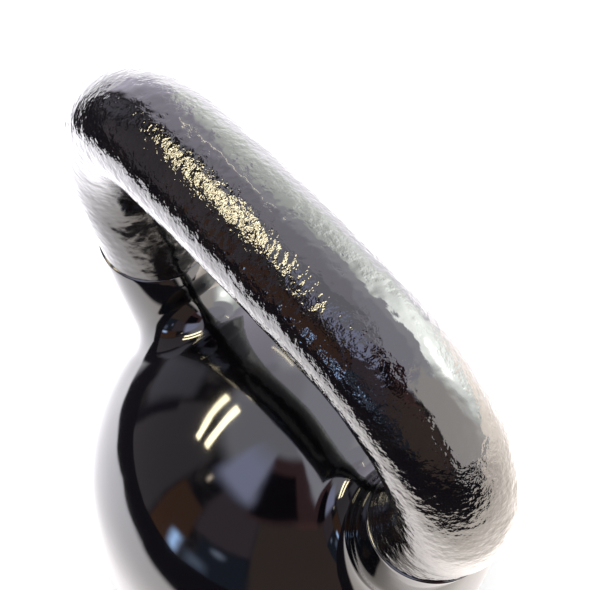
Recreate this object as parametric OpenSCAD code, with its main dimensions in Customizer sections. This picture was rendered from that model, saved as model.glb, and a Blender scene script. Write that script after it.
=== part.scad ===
// Vinyl-dipped kettlebell: one iron casting (bell and handle together), a coat of black
// enamel over all of it, and a thick vinyl jacket that covers the bell up to the dip line.
// Millimetres. +Z is up, X runs along the grip, and the origin is the centre of the base.

/* [Bell] */
// Diameter of the ball over its vinyl
ball_d = 142; // [118:1:171]
// Diameter of the flat that the bell stands on
base_d = 84; // [70:1:101]
// Width of the bevel round that flat
bevel_w = 6; // [4:0.5:9]
// Slope of that bevel, from level
bevel_slope = 20; // [15:1:25]

/* [Handle] */
// Overall height, from the base to the top of the grip
overall_h = 220; // [205:1:266]
// Overall width, over the two corners of the handle
overall_w = 177; // [147:1:213]
// Diameter of the painted grip
grip_d = 33; // [27:0.5:40]
// How much thicker each corner is than the grip, and each horn than its corner
thicken_d = 0.2; // [0.1:0.1:1]
// Radius of the grip's gentle crown, along its centre line
crown_r = 332; // [276:1:400]
// Radius of each corner, along its centre line
corner_r = 39; // [32:0.5:47]
// Distance from the bell's axis at which each horn's centre line crosses the ball's centre height
horn_aim = 36; // [30:0.5:43]

/* [Coats] */
// Thickness of the enamel on the iron
enamel_t = 0.3; // [0.2:0.05:0.5]
// Thickness of the vinyl jacket
vinyl_t = 1.6; // [1:0.1:2.5]
// Height of the dip line above the base
dip_h = 132.5; // [122:0.5:142]

/* [Hidden] */
$fn = 96;

// Each stretch of the bar starts this far inside the thicker one below it.
lap = 1;
coats_t = enamel_t + vinyl_t;
grip_r = grip_d / 2 - enamel_t;
corner_bar_r = grip_r + thicken_d / 2;
horn_r = corner_bar_r + thicken_d / 2;
ball_r = ball_d / 2 - coats_t;

// The bevel starts at the edge of the flat and ends on the ball's skin.
ball_z = bevel_w * tan(bevel_slope) + sqrt(pow(ball_d / 2, 2) - pow(base_d / 2 + bevel_w, 2));

// Centre line of the right half of the handle, in the XZ plane.
crown_z = overall_h - grip_d / 2 - crown_r;
corner_x = overall_w / 2 - corner_bar_r - enamel_t - corner_r;
crown_a = asin(corner_x / (crown_r - corner_r));
corner_z = crown_z + (crown_r - corner_r) * cos(crown_a);

// The horn is the outer tangent from its aim point to the corner's arc.
aim_rise = corner_z - ball_z;
aim_run = norm([corner_x - horn_aim, aim_rise]);
horn_a = atan2(aim_rise, corner_x - horn_aim) - asin(corner_r / aim_run);
horn_len = sqrt(pow(aim_run, 2) - pow(corner_r, 2));
horn_lean = 90 - horn_a;

// Half outline of the bell, grown outwards by g: a circle cut off by its base and its bevel.
module bell_outline(g) {
    r = ball_r + g;
    base_z = coats_t - g;
    flat_x = base_d / 2 - base_z * tan(bevel_slope / 2);
    bevel_x = 2 * r;
    intersection() {
        translate([0, ball_z]) circle(r);
        polygon([[0, base_z], [flat_x, base_z], [bevel_x, base_z + (bevel_x - flat_x) * tan(bevel_slope)],
            [bevel_x, ball_z + 2 * r], [0, ball_z + 2 * r]]);
    }
}

module bell(g) {
    rotate_extrude() bell_outline(g);
}

// One bend of the handle's bar, in the XZ plane, from angle a0 to a1.
module bend(r, bend_r, a0, a1) {
    rotate([90, 0, 0]) rotate([0, 0, a0]) rotate_extrude(angle = a1 - a0) translate([bend_r, 0]) circle(r);
}

module horn(g) {
    translate([horn_aim, 0, ball_z]) rotate([0, horn_lean, 0]) cylinder(h = horn_len, r = horn_r + g);
}

module handle_bar(g) {
    crown_end = 90 - crown_a;
    crown_lap = lap / crown_r * 180 / PI;
    corner_lap = lap / corner_r * 180 / PI;
    translate([0, 0, crown_z]) bend(grip_r + g, crown_r, crown_end - crown_lap, 180 - crown_end + crown_lap);
    for (side = [0, 1]) mirror([side, 0, 0]) {
        translate([corner_x, 0, corner_z]) bend(corner_bar_r + g, corner_r, -horn_lean - corner_lap, crown_end);
        horn(g);
    }
}

// Everything that the foundry pours, grown outwards by g.
module casting_shape(g) {
    bell(g);
    handle_bar(g);
}

module iron_casting() {
    color("dimgray") casting_shape(0);
}

module enamel_coat() {
    color([0.05, 0.05, 0.06]) difference() {
        casting_shape(enamel_t);
        casting_shape(0);
    }
}

module vinyl_jacket() {
    color([0.02, 0.02, 0.025]) difference() {
        intersection() {
            casting_shape(coats_t);
            cylinder(h = dip_h, r = overall_w);
        }
        casting_shape(enamel_t);
    }
}

iron_casting();
enamel_coat();
vinyl_jacket();
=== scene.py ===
"""A vinyl-dipped kettlebell: a lumpy, thickly enamelled handle over a mirror-smooth dipped bell.

Metres, +Z up, X along the grip, origin at the centre of the base.
"""
import math

import bmesh
import bpy
import numpy as np
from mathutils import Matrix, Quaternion, Vector


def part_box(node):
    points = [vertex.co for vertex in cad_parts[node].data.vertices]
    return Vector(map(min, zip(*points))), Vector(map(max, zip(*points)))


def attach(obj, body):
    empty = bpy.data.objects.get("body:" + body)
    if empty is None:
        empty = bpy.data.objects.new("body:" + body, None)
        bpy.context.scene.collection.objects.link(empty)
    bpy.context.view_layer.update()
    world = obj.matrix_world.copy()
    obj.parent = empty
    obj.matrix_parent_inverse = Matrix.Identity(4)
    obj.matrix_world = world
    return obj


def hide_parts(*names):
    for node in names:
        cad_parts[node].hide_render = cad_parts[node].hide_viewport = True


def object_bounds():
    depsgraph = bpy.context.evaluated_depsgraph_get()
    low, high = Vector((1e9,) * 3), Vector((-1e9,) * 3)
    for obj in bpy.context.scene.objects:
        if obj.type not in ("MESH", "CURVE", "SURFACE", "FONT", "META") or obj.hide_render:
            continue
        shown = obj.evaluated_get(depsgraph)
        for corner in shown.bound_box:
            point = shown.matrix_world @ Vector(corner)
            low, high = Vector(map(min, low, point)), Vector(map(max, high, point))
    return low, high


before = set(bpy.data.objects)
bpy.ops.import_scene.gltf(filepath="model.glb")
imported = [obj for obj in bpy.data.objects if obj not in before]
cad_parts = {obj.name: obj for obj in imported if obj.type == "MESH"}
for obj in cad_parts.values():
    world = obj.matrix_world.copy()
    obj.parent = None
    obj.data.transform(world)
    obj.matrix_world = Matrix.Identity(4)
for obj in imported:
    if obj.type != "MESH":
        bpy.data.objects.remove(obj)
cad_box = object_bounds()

MM = 0.001

# Sizes of the solids, read from the frame or repeated from the design.
OVERALL_W = cad_box[1].x - cad_box[0].x
OVERALL_H = cad_box[1].z
DIP_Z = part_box("vinyl_jacket")[1].z
BALL_R = 71 * MM
BALL_Z = 54.5 * MM
BAR_R = 16.6 * MM
CROWN_R = 332 * MM
CORNER_R = 39 * MM
HORN_AIM = 36 * MM
VINYL_T = 1.6 * MM

# The handle's centre line: a crown arc, two corner arcs, and horns that are tangent to them.
CROWN_Z = OVERALL_H - BAR_R - CROWN_R
CORNER_X = OVERALL_W / 2 - BAR_R - CORNER_R
CROWN_A = math.asin(CORNER_X / (CROWN_R - CORNER_R))
CORNER_Z = CROWN_Z + (CROWN_R - CORNER_R) * math.cos(CROWN_A)
AIM_RISE = CORNER_Z - BALL_Z
AIM_RUN = math.hypot(CORNER_X - HORN_AIM, AIM_RISE)
HORN_LEAN = math.pi / 2 - math.atan2(AIM_RISE, CORNER_X - HORN_AIM) + math.asin(CORNER_R / AIM_RUN)
HORN_UP = Vector((math.sin(HORN_LEAN), 0, math.cos(HORN_LEAN)))
HORN_OUT = Vector((math.cos(HORN_LEAN), 0, -math.sin(HORN_LEAN)))
CORNER_START = Vector((CORNER_X, 0, CORNER_Z)) + CORNER_R * HORN_OUT
BALL_CENTRE = Vector((0, 0, BALL_Z))


def deselect_all():
    bpy.ops.object.select_all(action="DESELECT")


def edit(piece):
    deselect_all()
    piece.select_set(True)
    bpy.context.view_layer.objects.active = piece
    bpy.ops.object.mode_set(mode="EDIT")


def finish_edit():
    bpy.ops.object.mode_set(mode="OBJECT")


def apply_modifiers(piece):
    deselect_all()
    piece.select_set(True)
    bpy.context.view_layer.objects.active = piece
    for modifier in list(piece.modifiers):
        bpy.ops.object.modifier_apply(modifier=modifier.name)


def settle(piece):
    """Puts the piece's place into its mesh and its origin at the frame's."""
    deselect_all()
    piece.select_set(True)
    bpy.context.view_layer.objects.active = piece
    bpy.ops.object.transform_apply(location=True, rotation=True, scale=True)


# ---------------------------------------------------------------- handle

HANDLE_AROUND = 176
OUTER_STEP = 0.52 * MM
INNER_STEP = 5 * MM
ENAMEL_T = 0.3 * MM
# How far the enamel runs on under the vinyl's lip before it stops, out of sight.
TUCK = 3 * MM
# The relief of the painted bar: each layer's name, the size of its lumps, the height it spans, and the
# share of that height at which the bar stays where it was. The fresh tube's faces look inwards, so a
# share over a half lifts the bar, and it keeps every dip in the enamel clear of the iron.
RELIEF = (
    ("casting_swell", 9 * MM, 0.42 * MM, 0.58),
    ("casting_lumps", 3.2 * MM, 0.13 * MM, 0.5),
    ("enamel_peel", 1.6 * MM, 0.12 * MM, 0.5),
)
# Edges sharper than this stay sharp when a piece is shaded smooth.
SMOOTH_UP_TO = math.radians(60)


def bar_tube(name, radius, step):
    """The bar from under one rim, up its horn, over the grip and down to the other rim."""
    rim_rise = (CORNER_START.z - DIP_Z) / HORN_UP.z
    horn_run = rim_rise + radius * math.tan(HORN_LEAN) + TUCK
    foot = CORNER_START - HORN_UP * horn_run
    deselect_all()
    bpy.ops.mesh.primitive_circle_add(
        vertices=HANDLE_AROUND, radius=radius, fill_type="NOTHING", location=foot, rotation=(0, HORN_LEAN, 0))
    tube = bpy.context.object
    tube.name = name
    edit(tube)
    bpy.ops.mesh.select_all(action="SELECT")
    horn_steps = max(1, round(horn_run / step))
    climb(HORN_UP * horn_run, horn_steps)
    corner_sweep = math.pi / 2 - CROWN_A + HORN_LEAN
    turn(Vector((CORNER_X, 0, CORNER_Z)), corner_sweep, CORNER_R, step)
    turn(Vector((0, 0, CROWN_Z)), 2 * CROWN_A, CROWN_R, step)
    turn(Vector((-CORNER_X, 0, CORNER_Z)), corner_sweep, CORNER_R, step)
    climb(Vector((HORN_UP.x, 0, -HORN_UP.z)) * horn_run, horn_steps)
    finish_edit()
    settle(tube)
    return tube


def climb(way, steps):
    """Draws the open end along a straight stretch."""
    for _ in range(steps):
        bpy.ops.mesh.extrude_region_move(TRANSFORM_OT_translate={"value": way / steps})


def turn(centre, sweep, bend_r, step):
    """Draws the open end round a bend in the XZ plane."""
    steps = max(2, round(sweep * bend_r / step))
    bpy.ops.mesh.spin(steps=steps, angle=sweep, center=centre, axis=(0, 1, 0))


def displace(piece, name, lump_size, height, middle=0.5, group=""):
    """Adds a layer of cloudy relief, which a vertex group can weaken."""
    texture = bpy.data.textures.new(name, "CLOUDS")
    texture.noise_scale = lump_size
    texture.noise_depth = 1
    modifier = piece.modifiers.new(name, "DISPLACE")
    modifier.texture = texture
    modifier.texture_coords = "LOCAL"
    modifier.strength = height
    modifier.mid_level = middle
    modifier.vertex_group = group


def make_handle_enamel():
    """The lumpy outside, and a plain inside that is bridged to it at both ends."""
    outer = bar_tube("handle_enamel", BAR_R, OUTER_STEP)
    for name, lump_size, height, middle in RELIEF:
        displace(outer, name, lump_size, height, middle)
    apply_modifiers(outer)
    inner = bar_tube("handle_enamel_inside", BAR_R - ENAMEL_T, INNER_STEP)
    deselect_all()
    inner.select_set(True)
    outer.select_set(True)
    bpy.context.view_layer.objects.active = outer
    bpy.ops.object.join()
    edit(outer)
    bpy.ops.mesh.select_mode(type="EDGE")
    bpy.ops.mesh.select_all(action="DESELECT")
    for side in (1, -1):
        select_open_edges(outer, side)
        bpy.ops.mesh.bridge_edge_loops()
        bpy.ops.mesh.select_all(action="DESELECT")
    bpy.ops.mesh.select_all(action="SELECT")
    bpy.ops.mesh.normals_make_consistent(inside=False)
    finish_edit()
    bpy.ops.object.shade_smooth_by_angle(angle=SMOOTH_UP_TO)
    return outer


def select_open_edges(piece, side):
    """Selects the open ends of the tubes on one side of the bell, 1 for +X and -1 for -X."""
    mesh = bmesh.from_edit_mesh(piece.data)
    for edge in mesh.edges:
        middle = (edge.verts[0].co + edge.verts[1].co) / 2
        edge.select_set(edge.is_boundary and middle.x * side > 0)
    bmesh.update_edit_mesh(piece.data)


# ---------------------------------------------------------------- vinyl

DIP_AROUND = 256
HORN_R = BAR_R + VINYL_T
ROOT_R = 10 * MM
LIP_T = 0.6 * MM
# How far the lip's inner edge bites into the lumpy enamel, so that no gap shows between them.
LIP_BITE = 0.15 * MM
RIM_ROLL = 0.5 * MM
FOOT_R = 9 * MM
FOOT_CENTRE_R = math.sqrt((BALL_R - FOOT_R) ** 2 - (BALL_Z - FOOT_R) ** 2)
WAVE_SIZE = 24 * MM
WAVE_HEIGHT = 0.32 * MM

# Rings of points along each stretch of the skin, inside and outside.
INNER_BALL_RINGS = 24
INNER_ROOT_RINGS = 5
RIM_RINGS = 6
HORN_RINGS = 14
ROOT_RINGS = 14
BALL_RINGS = 92


class DipSkin:
    """One face of the dipped vinyl on the right half of the bell, at an inset from its outside."""

    def __init__(self, inset):
        self.inset = inset
        self.coat_t = VINYL_T - inset
        self.lip_t = max(0, LIP_T - inset)
        self.root_r = ROOT_R + inset
        self.ball_r = BALL_R - inset
        self.up = np.array(HORN_UP)
        self.out = np.array(HORN_OUT)
        self.across = np.array((0.0, 1.0, 0.0))
        self.aside = HORN_AIM * HORN_UP.z
        angle = np.linspace(0, 2 * np.pi, DIP_AROUND, endpoint=False)
        self.ray = np.outer(np.cos(angle), self.out) + np.outer(np.sin(angle), self.across)
        centre = self.aside * self.out + (HORN_R - inset + self.root_r) * self.ray
        reach = (self.ball_r + self.root_r) ** 2 - (centre ** 2).sum(1)
        self.root_station = np.sqrt(reach)
        self.root_centre = centre + np.outer(self.root_station, self.up)

    def horn_point(self, radius, station):
        """Points round the horn at this distance from its axis and this far along it."""
        return self.aside * self.out + radius * self.ray + np.outer(station, self.up)

    def dip_station(self, radius):
        """Where a line on the horn at this radius reaches the level of the dip line."""
        level = DIP_Z - BALL_Z
        return (level - (self.aside * self.out + radius * self.ray)[:, 2]) / self.up[2]

    def rim(self, share):
        """The edge, which drained down to a thin lip and is rounded only on its outside."""
        turn_angle = math.pi / 2 * share
        radius = BAR_R - LIP_BITE + (LIP_T + LIP_BITE) * math.sin(turn_angle)
        drop = RIM_ROLL * (1 - math.cos(turn_angle))
        return self.horn_point(radius, self.dip_station(radius) - drop)

    def horn(self, share):
        """The horn's coat, which thickens from the lip down to the hollow."""
        top = self.dip_station(BAR_R) - RIM_ROLL
        station = top + (self.root_station - top) * share
        swell = share * (2 - share)
        coat = self.lip_t + (self.coat_t - self.lip_t) * swell
        return self.horn_point(BAR_R + coat, station)

    def root(self, share):
        """The hollow between horn and ball, as a ball rolled round the joint would leave it."""
        start = -self.ray
        end = -self.root_centre / np.linalg.norm(self.root_centre, axis=1, keepdims=True)
        return self.root_centre + self.root_r * slerp(start, end, share)

    def ball(self, share):
        """From the hollow's edge to the middle plane, along great circles through the horn's foot."""
        hub = self.aside * self.out + math.sqrt(self.ball_r ** 2 - self.aside ** 2) * self.up
        hub = hub / np.linalg.norm(hub)
        edge = self.root(1.0)
        edge = edge / np.linalg.norm(edge, axis=1, keepdims=True)
        start = np.arccos(np.clip(edge @ hub, -1, 1))
        way = edge - np.outer(edge @ hub, hub)
        way = way / np.linalg.norm(way, axis=1, keepdims=True)
        stop = np.arctan2(hub[0], -way[:, 0])
        angle = start + (stop - start) * share
        direction = np.outer(np.cos(angle), hub) + way * np.sin(angle)[:, None]
        return direction * self.reach(direction)[:, None]

    def reach(self, direction):
        """Distance from the ball's centre to the skin, with its flat base and round base edge."""
        down = -direction[:, 2]
        aside = np.sqrt(np.maximum(0, 1 - down ** 2))
        height = BALL_Z - self.inset
        flat = height / np.maximum(down, 1e-6)
        level = BALL_Z - FOOT_R
        along = FOOT_CENTRE_R * aside + level * down
        away = FOOT_CENTRE_R ** 2 + level ** 2 - along ** 2
        edge = along + np.sqrt(np.maximum(0, (FOOT_R - self.inset) ** 2 - away))
        on_flat = (down > 0) & (flat * aside <= FOOT_CENTRE_R)
        on_edge = (down > 0) & ~on_flat & (aside * level < FOOT_CENTRE_R * down)
        return np.where(on_flat, flat, np.where(on_edge, edge, self.ball_r))


def slerp(start, end, share):
    """Turns each unit vector this share of the way to its partner."""
    angle = np.arccos(np.clip((start * end).sum(1), -1, 1))[:, None]
    return (start * np.sin((1 - share) * angle) + end * np.sin(share * angle)) / np.sin(angle)


def shares(first, last, count):
    """How far along a stretch of count equal parts each ring lies, from the first to the last."""
    return [i / count for i in range(first, last + 1)]


def dip_rings():
    """Up the inside of the right half, over its rim and down its outside."""
    inner = DipSkin(VINYL_T)
    outer = DipSkin(0)
    rings = [inner.ball(1 - share) for share in shares(0, INNER_BALL_RINGS - 1, INNER_BALL_RINGS)]
    rings += [inner.root(1 - share) for share in shares(0, INNER_ROOT_RINGS, INNER_ROOT_RINGS)]
    rings += [inner.horn(share) for share in (0.66, 0.33)]
    rings += [outer.rim(share) for share in shares(0, RIM_RINGS, RIM_RINGS)]
    rings += [outer.horn(share) for share in shares(1, HORN_RINGS - 1, HORN_RINGS)]
    rings += [outer.root(share) for share in shares(0, ROOT_RINGS, ROOT_RINGS)]
    rings += [outer.ball(share) for share in shares(1, BALL_RINGS, BALL_RINGS)]
    return np.array(rings) + np.array(BALL_CENTRE)


def mark_wavy(dip):
    """Marks what the dip's waves may move: all above the base but the inside of the ball."""
    wavy = dip.vertex_groups.new(name="wavy")
    for vertex in dip.data.vertices:
        above_base = min(1, max(0, (vertex.co.z - FOOT_R) / (2 * FOOT_R)))
        depth = BALL_R - (vertex.co - BALL_CENTRE).length
        outside = min(1, max(0, (VINYL_T / 2 - depth) / (VINYL_T / 4)))
        wavy.add([vertex.index], above_base * outside, "REPLACE")
    return wavy.name


def make_vinyl_dip():
    """The dip as one closed skin: the right half from its rings, mirrored to the left."""
    rings = dip_rings()
    count, around, _ = rings.shape
    deselect_all()
    bpy.ops.mesh.primitive_grid_add(x_subdivisions=around, y_subdivisions=count - 1, size=1)
    dip = bpy.context.object
    dip.name = "vinyl_dip"
    closed = np.concatenate([rings, rings[:, :1]], axis=1)
    dip.data.vertices.foreach_set("co", closed.astype(np.float32).ravel())
    settle(dip)
    mirror = dip.modifiers.new("other_side", "MIRROR")
    mirror.use_axis = (True, False, False)
    mirror.use_mirror_merge = True
    mirror.merge_threshold = 0.01 * MM
    apply_modifiers(dip)
    edit(dip)
    bpy.ops.mesh.select_all(action="SELECT")
    bpy.ops.mesh.remove_doubles(threshold=0.005 * MM)
    bpy.ops.mesh.normals_make_consistent(inside=False)
    finish_edit()
    displace(dip, "dip_waves", WAVE_SIZE, WAVE_HEIGHT, group=mark_wavy(dip))
    apply_modifiers(dip)
    bpy.ops.object.shade_smooth_by_angle(angle=SMOOTH_UP_TO)
    return dip


# ---------------------------------------------------------------- materials

class Board:
    """A few short hands for wiring number and colour nodes together."""

    def __init__(self, tree):
        self.nodes = tree.nodes
        self.links = tree.links

    def value(self, operation, *inputs):
        node = self.nodes.new("ShaderNodeMath")
        node.operation = operation
        for socket, given in zip(node.inputs, inputs):
            self.feed(socket, given)
        return node.outputs[0]

    def feed(self, socket, given):
        if isinstance(given, bpy.types.NodeSocket):
            self.links.new(given, socket)
        else:
            socket.default_value = given

    def ramp(self, value, low, high, to_low=0.0, to_high=1.0, smooth=True):
        node = self.nodes.new("ShaderNodeMapRange")
        node.interpolation_type = "SMOOTHSTEP" if smooth else "LINEAR"
        for name, given in zip(("Value", "From Min", "From Max", "To Min", "To Max"),
                               (value, low, high, to_low, to_high)):
            self.feed(node.inputs[name], given)
        return node.outputs["Result"]

    def band(self, value, low, high, soft):
        rise = self.ramp(value, low - soft, low + soft)
        fall = self.ramp(value, high - soft, high + soft, 1.0, 0.0)
        return self.value("MULTIPLY", rise, fall)

    def blend(self, share, below, above):
        node = self.nodes.new("ShaderNodeMix")
        node.data_type = "RGBA"
        self.feed(node.inputs[0], share)
        self.feed(node.inputs[6], below)
        self.feed(node.inputs[7], above)
        return node.outputs[2]

    def noise(self, vector, scale, detail=2.0, rough=0.5):
        node = self.nodes.new("ShaderNodeTexNoise")
        self.links.new(vector, node.inputs["Vector"])
        node.inputs["Scale"].default_value = scale
        node.inputs["Detail"].default_value = detail
        node.inputs["Roughness"].default_value = rough
        return node.outputs["Fac"]


# Both coats are clear and glossy over their black.
COAT_IOR = 1.52

# Enamel. The crown's pool is a strip along the top of the grip, and the corner's pool is a slanted
# patch at its +X end.
PEEL_SCALE = 560
PEEL_DEPTH = 0.26 * MM
POOL_WANDER = 4 * MM
POOL_PEEL = 0.12
CORNER_POOL_START = 34 * MM
CORNER_POOL_END = 75 * MM
CORNER_POOL_SLANT = 0.16
HORN_PEEL = 0.5
MATTED_PEEL = 0.5
MATTED_ROUGHNESS = 0.11
ENAMEL_BLACK = (0.0016, 0.0014, 0.0018, 1)
ENAMEL_WARM = (0.0045, 0.0034, 0.0032, 1)

# Vinyl.
RIPPLE_DEPTH = 0.03 * MM
VINYL_BLACK = (0.0012, 0.0012, 0.0016, 1)
VINYL_DUST = (0.0034, 0.0032, 0.0036, 1)

# Iron.
SAND_DEPTH = 0.25 * MM
IRON_GREY = (0.12, 0.12, 0.125, 1)
IRON_RUST = (0.16, 0.11, 0.085, 1)


def material(name):
    made = bpy.data.materials.new(name)
    made.use_nodes = True
    nodes = made.node_tree.nodes
    return made, nodes, made.node_tree.links, nodes["Principled BSDF"]


def relief(board, shader, height, depth, strength=1.0):
    bump = board.nodes.new("ShaderNodeBump")
    bump.inputs["Distance"].default_value = depth
    board.feed(bump.inputs["Strength"], strength)
    board.links.new(height, bump.inputs["Height"])
    board.links.new(bump.outputs["Normal"], shader.inputs["Normal"])


def enamel_pools(board, place, x, y):
    """Where the enamel pooled and dried smooth, with a wandering edge."""
    wander = board.ramp(board.noise(place, 160, 2.0), 0.3, 0.7, -POOL_WANDER, POOL_WANDER, smooth=False)
    across = board.value("ADD", y, wander)
    along = board.value("ADD", x, wander)
    crown_pool = board.value("MULTIPLY", board.band(across, -1.5 * MM, 3.5 * MM, 1 * MM),
                             board.band(along, -58 * MM, 40 * MM, 2 * MM))
    past_start = board.value("SUBTRACT", along, CORNER_POOL_START)
    slant = board.value("ADD", across, board.value("MULTIPLY", past_start, CORNER_POOL_SLANT))
    corner_pool = board.value("MULTIPLY", board.ramp(slant, 1.2 * MM, 2.4 * MM),
                              board.ramp(across, 6.5 * MM, 8 * MM, 1.0, 0.0))
    corner_pool = board.value("MULTIPLY", corner_pool,
                              board.band(along, CORNER_POOL_START, CORNER_POOL_END, 0.7 * MM))
    return board.value("MAXIMUM", crown_pool, corner_pool)


def matted_enamel(board, x, z):
    """The -X corner and horn, rubbed a little duller than the rest."""
    corner = board.ramp(x, -84 * MM, -58 * MM, 1.0, 0.0)
    horn = board.value("MULTIPLY", board.ramp(x, -52 * MM, -42 * MM, 1.0, 0.0),
                       board.ramp(z, 182 * MM, 198 * MM, 1.0, 0.0))
    return board.value("MAXIMUM", corner, horn)


def black_enamel():
    """Thick black enamel: fine orange peel all over, drawn smooth where it pooled on the crown."""
    made, nodes, links, shader = material("black_enamel")
    board = Board(made.node_tree)
    place = nodes.new("ShaderNodeTexCoord").outputs["Object"]
    split = nodes.new("ShaderNodeSeparateXYZ")
    links.new(place, split.inputs[0])
    x, y, z = split.outputs
    pooled = enamel_pools(board, place, x, y)
    matted = matted_enamel(board, x, z)
    peel = board.ramp(pooled, 0.0, 1.0, 1.0, POOL_PEEL, smooth=False)
    peel = board.value("MULTIPLY", peel, board.ramp(z, 150 * MM, 190 * MM, HORN_PEEL, 1.0))
    peel = board.value("MULTIPLY", peel, board.ramp(matted, 0.0, 1.0, 1.0, MATTED_PEEL, smooth=False))
    relief(board, shader, board.noise(place, PEEL_SCALE, 2.0, 0.55), PEEL_DEPTH, peel)
    polish = board.ramp(board.noise(place, 210, 3.0, 0.6), 0.35, 0.7, 0.045, 0.085)
    dulling = board.value("MULTIPLY", matted, MATTED_ROUGHNESS)
    links.new(board.value("ADD", polish, dulling), shader.inputs["Roughness"])
    burnish = board.ramp(board.noise(place, 90, 3.0, 0.6), 0.4, 0.75)
    links.new(board.blend(burnish, ENAMEL_BLACK, ENAMEL_WARM), shader.inputs["Base Color"])
    shader.inputs["IOR"].default_value = COAT_IOR
    return made


def black_vinyl():
    """Dipped vinyl: a deep gloss with faint drain ripples, a little dust and an uneven polish."""
    made, nodes, links, shader = material("black_vinyl")
    board = Board(made.node_tree)
    place = nodes.new("ShaderNodeTexCoord").outputs["Object"]
    polish = board.ramp(board.noise(place, 55, 3.0, 0.6), 0.3, 0.7, 0.05, 0.085)
    links.new(polish, shader.inputs["Roughness"])
    relief(board, shader, board.noise(place, 130, 1.0, 0.4), RIPPLE_DEPTH)
    dust = board.ramp(board.noise(place, 24, 4.0, 0.65), 0.5, 0.85)
    links.new(board.blend(dust, VINYL_BLACK, VINYL_DUST), shader.inputs["Base Color"])
    shader.inputs["IOR"].default_value = COAT_IOR
    return made


def cast_iron():
    """Bare casting, as it would show if the coats were chipped off."""
    made, nodes, links, shader = material("as_cast_iron")
    board = Board(made.node_tree)
    place = nodes.new("ShaderNodeTexCoord").outputs["Object"]
    sand = board.noise(place, 900, 3.0, 0.6)
    stain = board.ramp(board.noise(place, 45, 4.0, 0.6), 0.45, 0.7)
    links.new(board.blend(stain, IRON_GREY, IRON_RUST), shader.inputs["Base Color"])
    links.new(board.ramp(sand, 0.3, 0.7, 0.5, 0.75), shader.inputs["Roughness"])
    relief(board, shader, sand, SAND_DEPTH)
    shader.inputs["Metallic"].default_value = 0.9
    return made


def paint(piece, made):
    piece.data.materials.clear()
    piece.data.materials.append(made)


# ---------------------------------------------------------------- studio

# What the gloss sees round the studio, later ones over earlier ones. Each has the middle of its turn
# from +Y towards +X, half its width and its soft side edge, then its lowest and highest point with
# their soft edges, all in degrees, and its brightness.
SURROUNDINGS = (
    ("grey_wall", (-134, 19, 3), (-6, 3), (47, 3), (0.50, 0.44, 0.50)),
    ("brown_curtain", (-164, 10, 1.5), (-15, 2), (30, 2), (0.56, 0.28, 0.17)),
    ("dark_post", (-116, 3, 2), (-14, 2), (26, 2), (0.10, 0.08, 0.12)),
    ("window_side", (-103, 9, 4), (2, 3), (33, 4), (0.62, 0.60, 0.72)),
    ("low_shelf", (-128, 26, 2), (-17, 2), (-7, 2), (0.06, 0.05, 0.07)),
    ("red_brown_door", (131, 21, 1.5), (-14, 4), (40, 1.5), (0.52, 0.37, 0.31)),
    ("door_head", (120, 9, 3), (38, 2), (49, 3), (0.95, 0.45, 0.40)),
    ("mauve_cloth", (169, 17, 3), (19, 2), (44, 3), (0.52, 0.40, 0.48)),
    ("dark_blue_chair", (166, 14, 3), (-26, 5), (19, 3), (0.13, 0.17, 0.27)),
    ("blue_glint", (178, 5, 4), (-1, 3), (5, 3), (1.0, 1.3, 1.9)),
    ("overhead", (0, 200, 6), (54, 6), (120, 6), (2.3, 2.3, 2.6)),
    ("overhead_left", (-62, 36, 8), (54, 4), (84, 8), (3.2, 3.1, 3.5)),
    ("overhead_bright", (40, 76, 8), (48, 4), (120, 6), (3.7, 3.65, 4.2)),
    ("dark_corner", (137, 25, 2.5), (40, 3), (75, 3), (0.50, 0.25, 0.27)),
    ("ceiling_beam", (144, 17, 1.5), (42, 1.5), (67, 2), (0.02, 0.01, 0.02)),
    ("ceiling_vent", (180, 19, 6), (46, 5), (72, 9), (3.1, 3.3, 4.8)),
    ("left_wall", (-62, 24, 6), (-25, 4), (54, 4), (3.4, 3.2, 3.8)),
    ("right_wall", (72, 31, 3), (-25, 4), (56, 3), (5.2, 4.9, 4.75)),
    ("high_back", (-5, 54, 5), (38, 4), (56, 4), (4.4, 4.4, 4.8)),
    ("backdrop", (-3, 44, 5), (-25, 4), (42, 2), (5.9, 6.1, 5.8)),
    ("backdrop_glow", (11, 24, 18), (2, 16), (42, 2), (17.0, 17.6, 16.8)),
    ("backdrop_sun", (20, 8, 6), (18, 6), (30, 5), (27.0, 27.0, 26.0)),
    ("small_lamp", (-163, 1.5, 1.5), (40, 1.5), (43, 1.5), (9.0, 7.6, 6.0)),
    ("blue_lamp", (-170, 2, 3), (-1, 3), (9, 3), (6.5, 10.0, 16.0)),
    ("far_blue_lamp", (168, 3, 3), (13, 2), (16, 2), (2.0, 2.4, 3.2)),
)
ROOM_DARK = (0.06, 0.05, 0.07, 1)
ROOM_LIGHT = (0.42, 0.36, 0.36, 1)
DAYLIGHT = (1.6, 1.6, 1.6, 1)
# How far the paper reaches to the left and the front, and across the corner, in metres.
PAPER_LEFT = -0.34
PAPER_FRONT = -0.37
PAPER_CORNER = 0.285


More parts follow.
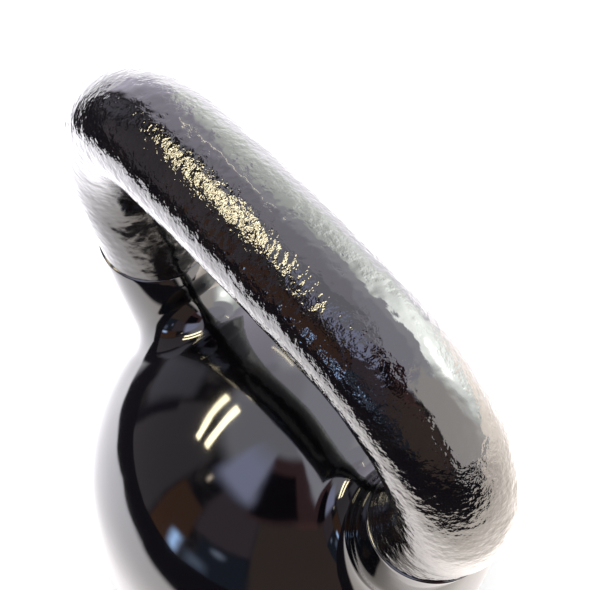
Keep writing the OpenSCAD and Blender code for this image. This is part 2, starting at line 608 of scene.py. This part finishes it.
def make_world():
    """Plain daylight for all but the gloss, which sees the surroundings."""
    world = bpy.data.worlds.new("studio")
    bpy.context.scene.world = world
    world.use_nodes = True
    board = Board(world.node_tree)
    way = board.nodes.new("ShaderNodeTexCoord").outputs["Generated"]
    split = board.nodes.new("ShaderNodeSeparateXYZ")
    board.links.new(way, split.inputs[0])
    turn_round = board.value("ARCTAN2", split.outputs["X"], split.outputs["Y"])
    height = board.value("ARCSINE", split.outputs["Z"])
    clutter = board.ramp(board.noise(way, 4.0, 3.0, 0.6), 0.4, 0.7)
    seen = board.blend(clutter, ROOM_DARK, ROOM_LIGHT)
    for _, (facing, half, soft), (low, low_soft), (high, high_soft), colour in SURROUNDINGS:
        off = board.value("SUBTRACT", turn_round, math.radians(facing))
        off = board.value("ABSOLUTE", board.value("WRAP", off, math.pi, -math.pi))
        side = board.ramp(off, math.radians(half - soft), math.radians(half + soft), 1.0, 0.0)
        foot = board.ramp(height, math.radians(low - low_soft), math.radians(low + low_soft))
        head = board.ramp(height, math.radians(high - high_soft), math.radians(high + high_soft), 1.0, 0.0)
        share = board.value("MULTIPLY", side, board.value("MULTIPLY", foot, head))
        seen = board.blend(share, seen, colour + (1,))
    path = board.nodes.new("ShaderNodeLightPath")
    background = board.nodes["Background"]
    shown = board.blend(path.outputs["Is Glossy Ray"], DAYLIGHT, seen)
    board.links.new(shown, background.inputs["Color"])


# The floor lies this far under the base, so that the two faces never share a plane.
FLOOR_GAP = 0.1 * MM
FLOOR_SIZE = 6
# Tint of the painted floor light: cooler towards -X, warmer towards +X.
FLOOR_COOL = (0.99, 0.97, 1.02, 1)
FLOOR_WARM = (1.10, 0.99, 0.89, 1)


def painted_floor_light(board, aside, ahead):
    """The lit paper as the gloss sees it, as a painted glow: painted shade beside the bell, brighter further
    out and towards +Y, and painted shade on the -X side towards +Y.
    """
    far = board.value("ADD", board.value("MULTIPLY", aside, aside), board.value("MULTIPLY", ahead, ahead))
    far = board.value("SQRT", far)
    # Painted shade round the bell: the glow is dim close to it and brightens out to 13 cm from its centre.
    bright = board.ramp(far, 0.06, 0.13, 1.2, 3.9)
    bright = board.value("ADD", bright, board.ramp(far, 0.14, 0.4, 0.0, 1.2))
    # Painted light: the glow grows brighter towards +Y.
    bright = board.value("ADD", bright, board.ramp(ahead, 0.2, 0.9, 0.0, 4.0))
    # Painted shade on the paper at -X, towards +Y, down to 0.62 of the glow.
    left = board.ramp(aside, -0.25, 0.0, 1.0, 0.0)
    shaded_left = board.value("MULTIPLY", left, board.ramp(ahead, -0.15, 0.05))
    bright = board.value("MULTIPLY", bright, board.ramp(shaded_left, 0.0, 1.0, 1.0, 0.62))
    tint = board.blend(board.ramp(aside, -0.2, 0.3), FLOOR_COOL, FLOOR_WARM)
    scale = board.nodes.new("ShaderNodeVectorMath")
    scale.operation = "SCALE"
    board.links.new(tint, scale.inputs[0])
    board.links.new(bright, scale.inputs["Scale"])
    return scale.outputs[0]


def past_paper(board, aside, ahead):
    """Where the paper stops and the dark room begins, to the left, in front and across one corner."""
    left = board.ramp(aside, PAPER_LEFT - 0.02, PAPER_LEFT + 0.02, 1.0, 0.0)
    left = board.value("MULTIPLY", left, board.ramp(ahead, -0.1, 0.0, 1.0, 0.0))
    front = board.ramp(ahead, PAPER_FRONT - 0.02, PAPER_FRONT + 0.02, 1.0, 0.0)
    diagonal = board.value("SUBTRACT", board.value("MULTIPLY", aside, 0.5), ahead)
    corner = board.ramp(diagonal, PAPER_CORNER - 0.035, PAPER_CORNER + 0.035)
    return board.value("MAXIMUM", left, board.value("MAXIMUM", front, corner))


def make_floor():
    """Pale matt paper; the gloss sees a painted glow in its place, with painted shade beside the bell, so it
    looks the brighter the further it is from the bell.
    """
    deselect_all()
    bpy.ops.mesh.primitive_plane_add(size=FLOOR_SIZE, location=(0, 0, -FLOOR_GAP))
    floor = bpy.context.object
    floor.name = "floor"
    made, nodes, links, shader = material("pale_floor")
    board = Board(made.node_tree)
    shader.inputs["Base Color"].default_value = (0.92, 0.92, 0.92, 1)
    shader.inputs["Roughness"].default_value = 0.9
    split = nodes.new("ShaderNodeSeparateXYZ")
    links.new(nodes.new("ShaderNodeTexCoord").outputs["Object"], split.inputs[0])
    aside = split.outputs["X"]
    ahead = split.outputs["Y"]
    # What the gloss sees of the floor: the painted glow, and the dark room past the paper's edge.
    seen = board.blend(past_paper(board, aside, ahead), painted_floor_light(board, aside, ahead), ROOM_DARK)
    glow = nodes.new("ShaderNodeEmission")
    links.new(seen, glow.inputs["Color"])
    path = nodes.new("ShaderNodeLightPath")
    mix = nodes.new("ShaderNodeMixShader")
    links.new(path.outputs["Is Glossy Ray"], mix.inputs["Fac"])
    links.new(shader.outputs["BSDF"], mix.inputs[1])
    links.new(glow.outputs["Emission"], mix.inputs[2])
    links.new(mix.outputs["Shader"], nodes["Material Output"].inputs["Surface"])
    paint(floor, made)


CEILING = 1.8
TUBE_WARM = (1.0, 0.88, 0.58)
# The ends of each tube over the ceiling's height, its width over the same, and its brightness.
TUBES = (
    ((-0.79, -0.83), (-0.71, -0.19), 0.1, 36),
    ((-0.56, -0.79), (-0.49, -0.20), 0.1, 36),
    ((-0.95, 0.51), (-0.50, 0.45), 0.012, 22),
)


def make_tubes():
    """Warm tubes on the ceiling, seen only by the gloss."""
    for number, (start, end, width, glow) in enumerate(TUBES):
        first = Vector((start[0], start[1], 1)) * CEILING
        last = Vector((end[0], end[1], 1)) * CEILING
        data = bpy.data.lights.new(f"tube_{number}", "AREA")
        data.shape = "RECTANGLE"
        data.size = (last - first).length
        data.size_y = width * CEILING
        data.color = TUBE_WARM
        data.energy = glow * math.pi * data.size * data.size_y
        tube = bpy.data.objects.new(f"tube_{number}", data)
        bpy.context.scene.collection.objects.link(tube)
        tube.location = (first + last) / 2
        tube.rotation_euler = (0, 0, math.atan2(last.y - first.y, last.x - first.x))
        tube.visible_diffuse = False
        tube.visible_camera = False


# The camera looks down from the +X, -Y side: its turn from -Y towards +X and its height in degrees,
# its distance from the ball's centre, and the point it looks at, from that centre.
CAMERA_TURN = 57.22
CAMERA_UP = 66.16
CAMERA_AWAY = 487.7 * MM
CAMERA_AIM = Vector((-41.6, 35.7, 28.3)) * MM
CAMERA_ROLL = -6.34
CAMERA_LENS = 86.6


def make_camera():
    data = bpy.data.cameras.new("camera")
    camera = bpy.data.objects.new("camera", data)
    bpy.context.scene.collection.objects.link(camera)
    bpy.context.scene.camera = camera
    azimuth = math.radians(CAMERA_TURN)
    elevation = math.radians(CAMERA_UP)
    back = Vector((math.sin(azimuth) * math.cos(elevation), -math.cos(azimuth) * math.cos(elevation),
                   math.sin(elevation)))
    camera.location = BALL_CENTRE + back * CAMERA_AWAY
    aim = BALL_CENTRE + CAMERA_AIM
    camera.rotation_mode = "QUATERNION"
    roll = Quaternion((0, 0, 1), math.radians(CAMERA_ROLL))
    camera.rotation_quaternion = (aim - camera.location).to_track_quat("-Z", "Y") @ roll
    data.sensor_width = 36
    data.lens = CAMERA_LENS
    data.clip_start = 0.01
    data.clip_end = 20


make_camera()
make_world()
make_floor()
make_tubes()

handle = make_handle_enamel()
paint(handle, black_enamel())
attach(handle, "root")
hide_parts("enamel_coat")

dip = make_vinyl_dip()
paint(dip, black_vinyl())
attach(dip, "root")
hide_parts("vinyl_jacket")

paint(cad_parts["iron_casting"], cast_iron())

bpy.context.scene.view_settings.view_transform = "Standard"
